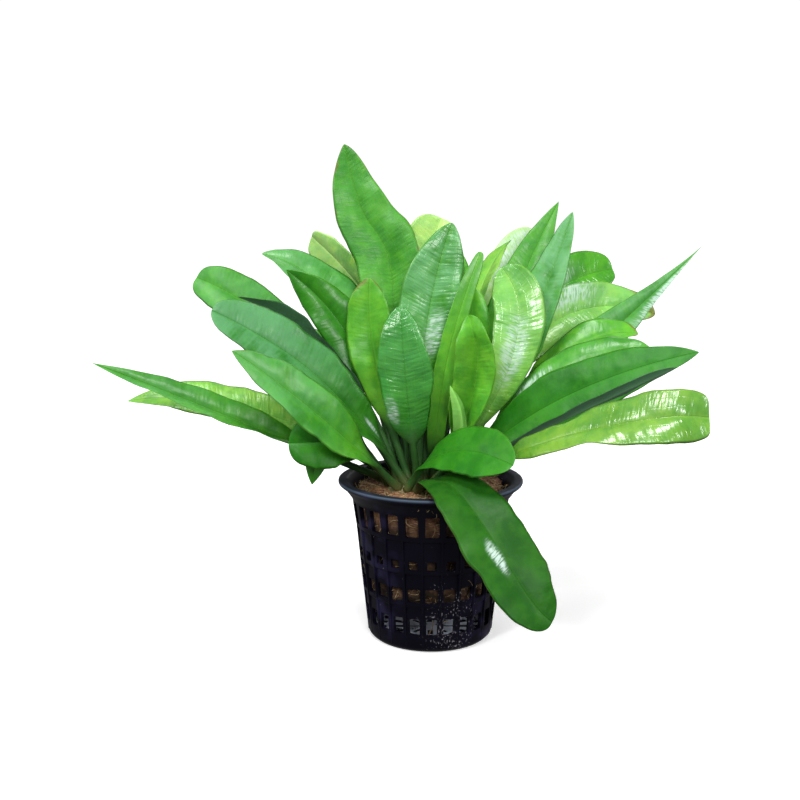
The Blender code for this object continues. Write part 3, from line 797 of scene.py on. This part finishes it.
class LeafLook(bpy.types.PropertyGroup):
    stalk_radius: length("Stalk radius", "Radius of a leaf stalk at the crown", 1.05 * MM)
    half_thickness: length("Blade half thickness", "Half the thickness of the blade", 0.30 * MM)
    midrib_size: length("Midrib size", "How far the midrib stands out under the blade", 0.55 * MM)
    vein_gap: length("Vein gap", "Distance between the folds that the cross veins make", 2.3 * MM)
    station_gap: length("Station gap", "Mean distance between sections along a leaf", 0.65 * MM)
    fresh: shade("Fresh green", "Most leaves", (0.062, 0.32, 0.016))
    deep: shade("Deep green", "Older leaves", (0.028, 0.215, 0.009))
    # Dark green is partly painted shade: the low hanging front leaf has it for the light that falls off
    # towards the pot
    dark: shade("Dark green", "The oldest leaves", (0.018, 0.118, 0.007))
    bright: shade("Bright green", "Younger leaves", (0.115, 0.44, 0.030))
    lime: shade("Lime green", "Young leaves", (0.20, 0.54, 0.070))
    pale: shade("Pale green", "Young leaves that light shines through", (0.42, 0.74, 0.15))
    olive: shade("Olive green", "Leaves that yellow", (0.140, 0.36, 0.030))
    bluish: shade("Bluish green", "The leaves in front", (0.045, 0.30, 0.028))
    shade: shade("Shaded green", "Leaves seen from below", (0.026, 0.120, 0.048))
    stalk_dark: shade("Dark stalk", "Darker parts of the stalks", (0.014, 0.055, 0.012))
    stalk_light: shade("Light stalk", "Lighter parts of the stalks", (0.045, 0.14, 0.030))
    stalk_foot: shade("Stalk foot", "Where the stalks leave the crown", (0.16, 0.13, 0.05))
    # Painted highlight: the white that a leaf's gleam lays on its blade
    painted_highlight: shade("Wet patch", "Where a blade shines white", (0.72, 0.88, 0.82))
    browned: shade("Browned margin", "Tips and margins that have browned", (0.17, 0.12, 0.02))


class ECHINODORUS_OT_leaves(bpy.types.Operator):
    """Make every leaf with its stalk"""
    bl_idname = "echinodorus.leaves"
    bl_label = "Leaves"

    def execute(self, context):
        group = leaf_tree()
        look = context.scene.echinodorus_leaves
        material = leaf_material(look)
        counts = dict.fromkeys(RINGS, 0)
        for number, leaf in enumerate(LEAVES):
            counts[leaf.ring] += 1
            node = f"{leaf.ring}_leaf_{counts[leaf.ring]:02d}"
            thing = new_object("visible_" + node)
            apply_tree(thing, group, leaf_values(leaf, number, look, material))
            finish_piece(thing, leaf.ring + "_leaf", node)
        return {"FINISHED"}


# Pot

def turned(name, profile, steps):
    """A profile of (radius, height) points turned about Z, from one axis point to the other."""
    thing = wire(name, [(radius, 0, height) for radius, height in profile])
    screw = thing.modifiers.new("turn", "SCREW")
    screw.steps = steps
    screw.render_steps = steps
    screw.use_merge_vertices = True
    screw.merge_threshold = 0.01 * MM
    keep_shape(thing)
    return thing


def face_out(mesh):
    bm = bmesh.new()
    bm.from_mesh(mesh)
    bmesh.ops.remove_doubles(bm, verts=bm.verts, dist=0.005 * MM)
    bmesh.ops.recalc_face_normals(bm, faces=bm.faces)
    bm.to_mesh(mesh)
    bm.free()


def rounded(corners, radius, steps=4):
    """Points of a path with its inner corners rounded off."""
    path = [corners[0]]
    for before, corner, after in zip(corners, corners[1:], corners[2:]):
        a, b, c = Vector(before), Vector(corner), Vector(after)
        reach = min(radius, (a - b).length * 0.45, (c - b).length * 0.45)
        start = b + (a - b).normalized() * reach
        stop = b + (c - b).normalized() * reach
        for k in range(steps + 1):
            t = k / steps
            path.append(tuple(start * (1 - t) ** 2 + b * 2 * t * (1 - t) + stop * t ** 2))
    path.append(corners[-1])
    return path


def stepped(path, gap):
    """The path with points added so that none are further apart than gap."""
    points = []
    for before, after in zip(path, path[1:]):
        start, stop = Vector(before), Vector(after)
        count = max(1, math.ceil((stop - start).length / gap))
        points += [tuple(start.lerp(stop, k / count)) for k in range(count)]
    return points + [path[-1]]


def slot_tree():
    """Cuts a ring of slots with rounded corners through a wall turned about Z."""
    tree = ShapeTree("slot ring")
    body = tree.input("Body", "Geometry")
    count = tree.input("Count", "Int")
    near, far, low, high, width, corner = tree.inputs("Near", "Far", "Low", "High", "Width", "Corner")
    middle = (low + high) * 0.5
    cutter = tree.bar(tree.vector(near, 0.0, middle), tree.vector(far, 0.0, middle),
                      width, high - low, corner)
    cutters = tree.shape("RealizeInstances", {0: tree.ring(cutter, count)})
    pierced = tree.shape("MeshBoolean", {"Mesh 1": body, "Mesh 2": cutters},
                         operation="DIFFERENCE", solver="EXACT")
    return tree.end(pierced)


def rib_tree():
    """Slim upright ribs round the wall, one on each bar between the slots."""
    tree = ShapeTree("upright ribs")
    count = tree.input("Count", "Int")
    bottom, top = tree.inputs("Bottom", "Top", kind="Vector")
    width, depth = tree.inputs("Width", "Depth")
    return tree.end(tree.ring(tree.bar(bottom, top, width, depth, width * 0.42), count, 0.5))


def pot_material(look):
    """Black plastic: a lighter flange top, a painted highlight along the outer lip, painted violet sheen at
    the sides, chalky specks low in front, painted light on its floor inside.
    """
    material, tree, shader = new_material("pot plastic")
    here = tree.here()
    x, y, z = here.parts()
    out = (x * x + y * y).root()
    patch = tree.noise(here, 140.0)
    cloud = tree.noise(here, 120.0, 4.0)
    grain = tree.noise(here, 2200.0)
    spots = tree.noise(tree.vector(x, y, z * 0.55), 2200.0, 3.0)
    front = y.fade(-16 * MM, -8 * MM) * z.fade(16 * MM, 30 * MM) * x.between(-6 * MM, 0.0, 10 * MM, 16 * MM)
    chalk = (spots + patch * 0.35 - (1.0 - front) * 0.12).step(0.80, 0.88)
    rim = z.step(look.height - 1.0 * MM, look.height - 0.2 * MM)
    # Painted highlight: a light line along the flange's outer lip
    lip = out.step(look.rim_radius - 0.6 * MM, look.rim_radius - 0.1 * MM)
    # Painted light: a pale patch on the floor inside, for the lit ground seen through the floor's slots
    inside = out.fade(INSIDE_FLOOR_RADIUS - 0.7 * MM, INSIDE_FLOOR_RADIUS - 0.1 * MM)
    inside = inside * z.between(look.floor - 0.4 * MM, look.floor - 0.1 * MM,
                                INSIDE_FLOOR_HEIGHT, INSIDE_FLOOR_HEIGHT + 0.6 * MM)
    # Painted sheen: violet patches at the pot's left and right sides
    sheen = patch.step(0.45, 0.62) * abs(x).step(6 * MM, 18 * MM)
    colour = tree.layers(
        tree.mix(look.black, look.worn_black, cloud),
        (look.painted_violet_sheen, sheen * 0.7),
        (look.flange, rim * (0.35 + cloud * 0.6)),
        (look.lip, lip * rim * 0.8),
        (look.chalk, chalk * 0.55),
        (look.painted_floor_light, inside * (patch + spots * 0.3).step(0.46, 0.58)))
    tree.surface(shader, colour, 0.30 + cloud * 0.14 + rim * 0.12 + chalk * 0.4,
                 grain + cloud * 2.0 + chalk, 0.06 * MM, 0.35)
    tree.feed(shader, {"Specular IOR Level": 0.10})
    return material


class PotLook(bpy.types.PropertyGroup):
    height: length("Height", "Height of the pot", 48 * MM)
    rim_radius: length("Rim radius", "Outer radius of the rim", 27.5 * MM)
    mouth_radius: length("Mouth radius", "Radius of the opening", 24.3 * MM)
    foot_radius: length("Foot radius", "Radius that the pot stands on", 17.2 * MM)
    floor: length("Floor", "Thickness of the floor", 1.6 * MM)
    slot_corner: length("Slot corner", "Radius of the slots' corners", 0.45 * MM)
    rib_width: length("Rib width", "Width of an upright rib", 0.55 * MM)
    rib_depth: length("Rib depth", "Depth of an upright rib", 1.5 * MM)
    black: shade("Black", "The plastic's darker parts", (0.0016, 0.0014, 0.0040))
    worn_black: shade("Worn black", "The plastic's lighter parts", (0.0045, 0.004, 0.010))
    # Painted sheen: the violet that lies over the pot's sides
    painted_violet_sheen: shade("Violet sheen", "The tint at the pot's sides", (0.024, 0.021, 0.062))
    flange: shade("Flange", "The top of the flange", (0.020, 0.028, 0.038))
    # Painted highlight: the light line along the flange's outer lip
    lip: shade("Lip", "The flange's rubbed outer lip", (0.07, 0.10, 0.15))
    # Painted light: the pale patch on the floor inside
    painted_floor_light: shade("Film", "The pale film on the floor inside", (0.62, 0.68, 0.80))
    chalk: shade("Chalk", "Specks that hard water left", (0.42, 0.40, 0.44))


class ECHINODORUS_OT_pot(bpy.types.Operator):
    """Make the slotted net pot"""
    bl_idname = "echinodorus.pot"
    bl_label = "Net pot"

    def execute(self, context):
        look = context.scene.echinodorus_pot
        material = pot_material(look)
        top, rim, mouth, floor = look.height, look.rim_radius, look.mouth_radius, look.floor
        corners = [
            (0, floor), (INSIDE_FLOOR_RADIUS - FLOOR_FILLET, floor),
            (INSIDE_FLOOR_RADIUS, INSIDE_FLOOR_HEIGHT), (INSIDE_TOP_RADIUS, NECK_HEIGHT - NECK_BEND),
            (mouth - MOUTH_INSET, top - MOUTH_DROP), (mouth + LIP, top), (rim - RIM_EDGE, top),
            (rim, top - RIM_THICKNESS), (mouth + FLARE_WIDTH, top - FLARE_DROP),
            (TIERS[0][1] + THROAT_WIDTH, TIERS[0][0] - THROAT_DROP)]
        for number, (high, high_radius, low, low_radius, *_slots) in enumerate(TIERS):
            if number:
                corners.append((high_radius, high))
            corners.append((low_radius, low))
        corners += [(look.foot_radius + FOOT_BEVEL, FOOT_BEVEL), (look.foot_radius, 0), (0, 0)]
        wall = turned("visible_pot", rounded(corners, CORNER_RADIUS, 3), POT_STEPS)
        face_out(wall.data)
        rings = [(POT_SIDES, *SLOT_REACH, low, high, width) for *_tier, low, high, width in TIERS]
        rings += [(count, near, far, -floor, 2 * floor, width) for count, near, far, width in FLOOR_SLOTS]
        group = slot_tree()
        for count, near, far, low, high, width in rings:
            apply_tree(wall, group, {"Count": count, "Near": near, "Far": far, "Low": low, "High": high,
                                     "Width": width, "Corner": look.slot_corner, "Material": material})
        ribs = new_object("visible_pot_ribs")
        apply_tree(ribs, rib_tree(), {"Count": POT_SIDES, "Top": RIB_TOP, "Bottom": RIB_BOTTOM,
                                      "Width": look.rib_width, "Depth": look.rib_depth,
                                      "Material": material})
        for piece in (wall, ribs):
            piece.data.set_sharp_from_angle(angle=40 * DEGREE)
            finish_piece(piece, "pot_plastic", "pot")
        return {"FINISHED"}


# Rockwool, crown and roots

def inside_radius(height):
    """Radius of the pot's inner wall at a height."""
    share = (height - INSIDE_FLOOR_HEIGHT) / (NECK_HEIGHT - INSIDE_FLOOR_HEIGHT)
    return INSIDE_FLOOR_RADIUS + share * (INSIDE_TOP_RADIUS - INSIDE_FLOOR_RADIUS)


def lumpy(thing, strength, size, seed):
    """Moves each point along its normal by smooth noise, whose lumps are size across."""
    mesh = thing.data
    shift = Vector((seed, seed * 2.3, 0))
    moves = [noise.fractal(point.co / size + shift, 1.0, 2.0, OCTAVES) * strength
             for point in mesh.vertices]
    normals = [point.normal.copy() for point in mesh.vertices]
    for point, normal, move in zip(mesh.vertices, normals, moves):
        point.co += normal * move
    mesh.update()


class PlugLook(bpy.types.PropertyGroup):
    wool_dark: shade("Dark rockwool", "The folds of the rockwool", (0.10, 0.028, 0.012))
    wool_light: shade("Light rockwool", "The rockwool's raised parts", (0.40, 0.21, 0.10))
    wool_fibre: shade("Rockwool fibres", "Single fibres in the rockwool", (0.42, 0.30, 0.16))
    # Painted shade: the dark of the rockwool down in the pot
    painted_wool_shade: shade("Deep rockwool", "The rockwool down in the pot", (0.022, 0.010, 0.003))
    straw_dark: shade("Dark straw", "The darker loose fibres", (0.20, 0.11, 0.04))
    straw_light: shade("Light straw", "The lighter loose fibres", (0.55, 0.42, 0.22))
    crown_dark: shade("Dark crown", "The crown's darker parts", (0.10, 0.075, 0.03))
    crown_light: shade("Light crown", "The crown's lighter parts", (0.33, 0.34, 0.14))
    root_dark: shade("Dark root", "The roots' darker parts", (0.24, 0.17, 0.10))
    root_light: shade("Light root", "The roots' lighter parts", (0.62, 0.55, 0.42))


def wool_material(look):
    """Soaked brown rockwool: matted fibres, dark in its folds, and painted shade down in the pot."""
    material, tree, shader = new_material("rockwool")
    here = tree.here()
    x, y, z = here.parts()
    cloud = tree.noise(here, 180.0, 4.0)
    strands = tree.noise(tree.vector(x, y, z * 4.0), 900.0, 4.0)
    gaps = tree.noise(here, 210.0).step(0.50, 0.60)
    colour = tree.layers(
        tree.mix(look.wool_dark, look.wool_light, (cloud * 0.6 + strands * 0.4).step(0.35, 0.68)),
        (look.wool_fibre, strands.step(0.58, 0.75) * 0.6),
        # Painted shade: the rockwool darkens down in the pot, in patches
        (look.painted_wool_shade, z.fade(34 * MM, 45 * MM) * (0.92 - strands * 0.28 + gaps * 0.25)))
    tree.surface(shader, colour, 0.70 + cloud * 0.2, strands + cloud, 0.4 * MM, 0.9)
    return material


def plain_material(name, dark, light, scale, roughness):
    """A matt finish that wanders between two colours."""
    material, tree, shader = new_material(name)
    cloud = tree.noise(tree.here(), scale, 4.0)
    colour = tree.mix(dark, light, cloud.step(0.3, 0.7))
    tree.surface(shader, colour, roughness + cloud * 0.2, cloud, 0.2 * MM, 0.6)
    return material


def fibre_tree():
    """Bent hair-like fibres that lie over a surface."""
    tree = ShapeTree("fibres")
    body = tree.input("Body", "Geometry")
    density, length, radius, lift, lowest, highest = tree.inputs(
        "Density", "Length", "Radius", "Lift", "Lowest", "Highest")
    seed = tree.input("Seed", "Int")
    z = tree.place().parts()[2]
    where = {"Mesh": body, "Selection": (z > lowest) & (highest > z), "Density": density, "Seed": seed}
    spots, lying = tree.both("GeometryNodeDistributePointsOnFaces", where, "Points", "Rotation")
    hair = tree.shape("CurveQuadraticBezier", {
        "Resolution": 5, "Start": (0.0, 0.0, 0.0), "End": tree.vector(length, 0.0, lift * 0.3),
        "Middle": tree.vector(length * 0.5, length * 0.22, lift)})
    spin = tree.about_z(tree.random(0.0, FULL_TURN, seed))
    turned_hair = tree.out("FunctionNodeRotateRotation", {0: lying, 1: spin}, rotation_space="LOCAL")
    threads = tree.shape("InstanceOnPoints", {
        "Points": spots, "Instance": tree.tube(hair, 3, radius), "Rotation": turned_hair,
        "Scale": tree.random(0.45, 1.3, 7)})
    return tree.end(threads)


def root_tree():
    """A root: a tapering tube along a path with small wanders."""
    tree = ShapeTree("root")
    body = tree.input("Body", "Geometry")
    radius, wander = tree.inputs("Radius", "Wander")
    seed = tree.input("Seed", "Vector")
    path = tree.shape("MeshToCurve", {0: body})
    path = tree.shape("CurveSplineType", {0: path}, spline_type="CATMULL_ROM")
    path = tree.shape("ResampleCurve", {"Curve": path, "Count": 22})
    share = tree.shape("SplineParameter")
    stray = tree.noise(tree.place() + seed, 420.0, 1.0, 1)
    moved = tree.shape("SetPosition", {"Geometry": path, "Offset": (stray - 0.5) * (wander * 2.0)})
    return tree.end(tree.tube(moved, 7, 1.0, radius * (1.0 - share * 0.6)))


def polar(radius, angle, height):
    return Vector((radius * math.cos(angle), radius * math.sin(angle), height))


class ECHINODORUS_OT_rockwool(bpy.types.Operator):
    """Make the rockwool plug and the fibres on it"""
    bl_idname = "echinodorus.rockwool"
    bl_label = "Rockwool"

    def execute(self, context):
        look = context.scene.echinodorus_plug
        mouth, shoulder, foot = (inside_radius(height) + past
                                 for height, past in (WOOL_TOP, WOOL_SHOULDER, WOOL_BOTTOM))
        top = WOOL_TOP[0] - WOOL_SUNK
        corners = [(0, top), (mouth, top), (shoulder, WOOL_SHOULDER[0]), (foot, WOOL_BOTTOM[0]),
                   (0, WOOL_BOTTOM[0])]
        wool = turned("visible_rockwool", stepped(rounded(corners, 1.2 * MM), 0.6 * MM), 144)
        face_out(wool.data)
        for lumps in WOOL_LUMPS:
            lumpy(wool, *lumps)
        wool.data.materials.append(wool_material(look))
        wool.data.shade_smooth()
        pieces = [wool]
        straw = plain_material("straw", look.straw_dark, look.straw_light, 600.0, 0.6)
        group = fibre_tree()
        for name, (density, lowest, highest, seed) in FIBRES.items():
            pieces.append(new_object(name, wool.data.copy()))
            apply_tree(pieces[-1], group, FIBRE_SIZE | {
                "Density": density, "Lowest": lowest, "Highest": highest, "Seed": seed, "Material": straw})
        for piece in pieces:
            finish_piece(piece, "rockwool", "rockwool")
        return {"FINISHED"}


class ECHINODORUS_OT_crown(bpy.types.Operator):
    """Make the knobby crown that the leaves grow from"""
    bl_idname = "echinodorus.crown"
    bl_label = "Crown"

    def execute(self, context):
        look = context.scene.echinodorus_plug
        crown = turned("visible_crown", stepped(rounded(CROWN_PROFILE, 1.5 * MM), 0.5 * MM), 96)
        crown.data.transform(Matrix.Translation((*CROWN_CENTRE, 0)))
        face_out(crown.data)
        lumpy(crown, *CROWN_LUMPS)
        crown.data.materials.append(
            plain_material("crown", look.crown_dark, look.crown_light, 260.0, 0.5))
        crown.data.shade_smooth()
        finish_piece(crown, "crown", "crown")
        return {"FINISHED"}


class ECHINODORUS_OT_roots(bpy.types.Operator):
    """Make the roots that hang below the plug and poke out of the slots"""
    bl_idname = "echinodorus.roots"
    bl_label = "Roots"

    def execute(self, context):
        look = context.scene.echinodorus_plug
        material = plain_material("roots", look.root_dark, look.root_light, 500.0, 0.45)
        draw = random.Random(12)
        group = root_tree()
        whole = bmesh.new()
        for number in range(ROOTS):
            angle = draw.uniform(0, FULL_TURN)
            radius = draw.uniform(5, 16) * MM
            drift = draw.uniform(-0.9, 0.9)
            out = draw.uniform(0.9, 1.15)
            points = [polar(radius, angle, ROOT_TOP)]
            for k in range(1, ROOT_STEPS + 1):
                reach = min(radius * (1 + (out - 1) * k), ROOT_REACH)
                points.append(polar(reach, angle + drift * k / ROOT_STEPS,
                                    ROOT_TOP - k * draw.uniform(1.6, 2.2) * MM))
            thing = wire("root", points)
            apply_tree(thing, group, {"Radius": draw.uniform(0.22, 0.42) * MM, "Wander": 0.9 * MM,
                                      "Seed": (number * 1.3, 0, 0), "Material": material})
            whole.from_mesh(thing.data)
            bpy.data.objects.remove(thing)
        mesh = bpy.data.meshes.new("visible_roots")
        whole.to_mesh(mesh)
        whole.free()
        mesh.materials.append(material)
        mesh.shade_smooth()
        finish_piece(new_object("visible_roots", mesh), "crown", "crown")
        return {"FINISHED"}


# Stage

class StageLook(bpy.types.PropertyGroup):
    floor: shade("Floor", "The pale floor", (0.9, 0.9, 0.9))
    reach: length("Floor reach", "Half the width of the floor", 3.0)


class ECHINODORUS_OT_stage(bpy.types.Operator):
    """Set up the floor, the soft light and the camera"""
    bl_idname = "echinodorus.stage"
    bl_label = "Stage"

    def execute(self, context):
        look = context.scene.echinodorus_stage
        reach = look.reach
        mesh = bpy.data.meshes.new("floor")
        mesh.from_pydata([(-reach, -reach, 0), (reach, -reach, 0), (reach, reach, 0),
                          (-reach, reach, 0)], [], [(0, 1, 2, 3)])
        floor = new_object("floor", mesh)
        material, tree, shader = new_material("floor")
        tree.feed(shader, {"Base Color": (*look.floor, 1), "Roughness": 0.9,
                           "Emission Color": (1, 1, 1, 1), "Emission Strength": FLOOR_GLOW})
        mesh.materials.append(material)
        floor.visible_diffuse = False
        floor.visible_glossy = False
        for name, (place, degrees, power) in SUNS.items():
            light("SUN", name, place, (0, 0, 0), power, angle=degrees * DEGREE)
        for name, (place, size, power) in LAMPS.items():
            light("AREA", name, place, PLANT_MIDDLE, power, shape="DISK", size=size)
        world = bpy.data.worlds.new("studio")
        world.use_nodes = True
        tree = Tree(world.node_tree)
        seen = tree.out("ShaderNodeLightPath", output="Is Camera Ray")
        tree.feed(world.node_tree.nodes["Background"],
                  {"Color": (1, 1, 1, 1), "Strength": SKY_LIGHT + seen * SKY_SEEN})
        context.scene.world = world
        context.scene.view_settings.view_transform = "Standard"
        camera = bpy.data.cameras.new("camera")
        camera.lens = SENSOR * FOCAL_PIXELS / PICTURE_PIXELS
        eye = new_object("camera", camera)
        eye.location = EYE
        eye.rotation_euler = (EYE_PITCH, 0, 0)
        context.scene.camera = eye
        return {"FINISHED"}


def light(kind, name, place, target, power, **settings):
    """A lamp or sun that stands at place and shines towards target."""
    lamp = bpy.data.lights.new(name, kind)
    lamp.energy = power
    for key, value in settings.items():
        setattr(lamp, key, value)
    thing = new_object(name, lamp)
    thing.location = place
    thing.rotation_euler = (Vector(target) - Vector(place)).to_track_quat("-Z", "Y").to_euler()


class ECHINODORUS_PT_panel(bpy.types.Panel):
    bl_label = "Potted echinodorus"
    bl_space_type = "VIEW_3D"
    bl_region_type = "UI"
    bl_category = "Echinodorus"

    def draw(self, context):
        for operator in OPERATORS:
            self.layout.operator(operator.bl_idname)


OPERATORS = (ECHINODORUS_OT_pot, ECHINODORUS_OT_rockwool, ECHINODORUS_OT_crown,
             ECHINODORUS_OT_leaves, ECHINODORUS_OT_roots, ECHINODORUS_OT_stage)
GROUPS = {"echinodorus_pot": PotLook, "echinodorus_plug": PlugLook,
          "echinodorus_leaves": LeafLook, "echinodorus_stage": StageLook}
CLASSES = (*GROUPS.values(), *OPERATORS, ECHINODORUS_PT_panel)


def register():
    for kind in CLASSES:
        bpy.utils.register_class(kind)
    for name, group in GROUPS.items():
        setattr(bpy.types.Scene, name, bpy.props.PointerProperty(type=group))


def unregister():
    for name in GROUPS:
        delattr(bpy.types.Scene, name)
    for kind in reversed(CLASSES):
        bpy.utils.unregister_class(kind)


def main():
    register()
    bpy.ops.echinodorus.pot()
    bpy.ops.echinodorus.rockwool()
    bpy.ops.echinodorus.crown()
    bpy.ops.echinodorus.leaves()
    bpy.ops.echinodorus.roots()
    bpy.ops.echinodorus.stage()


if __name__ == "__main__":
    main()
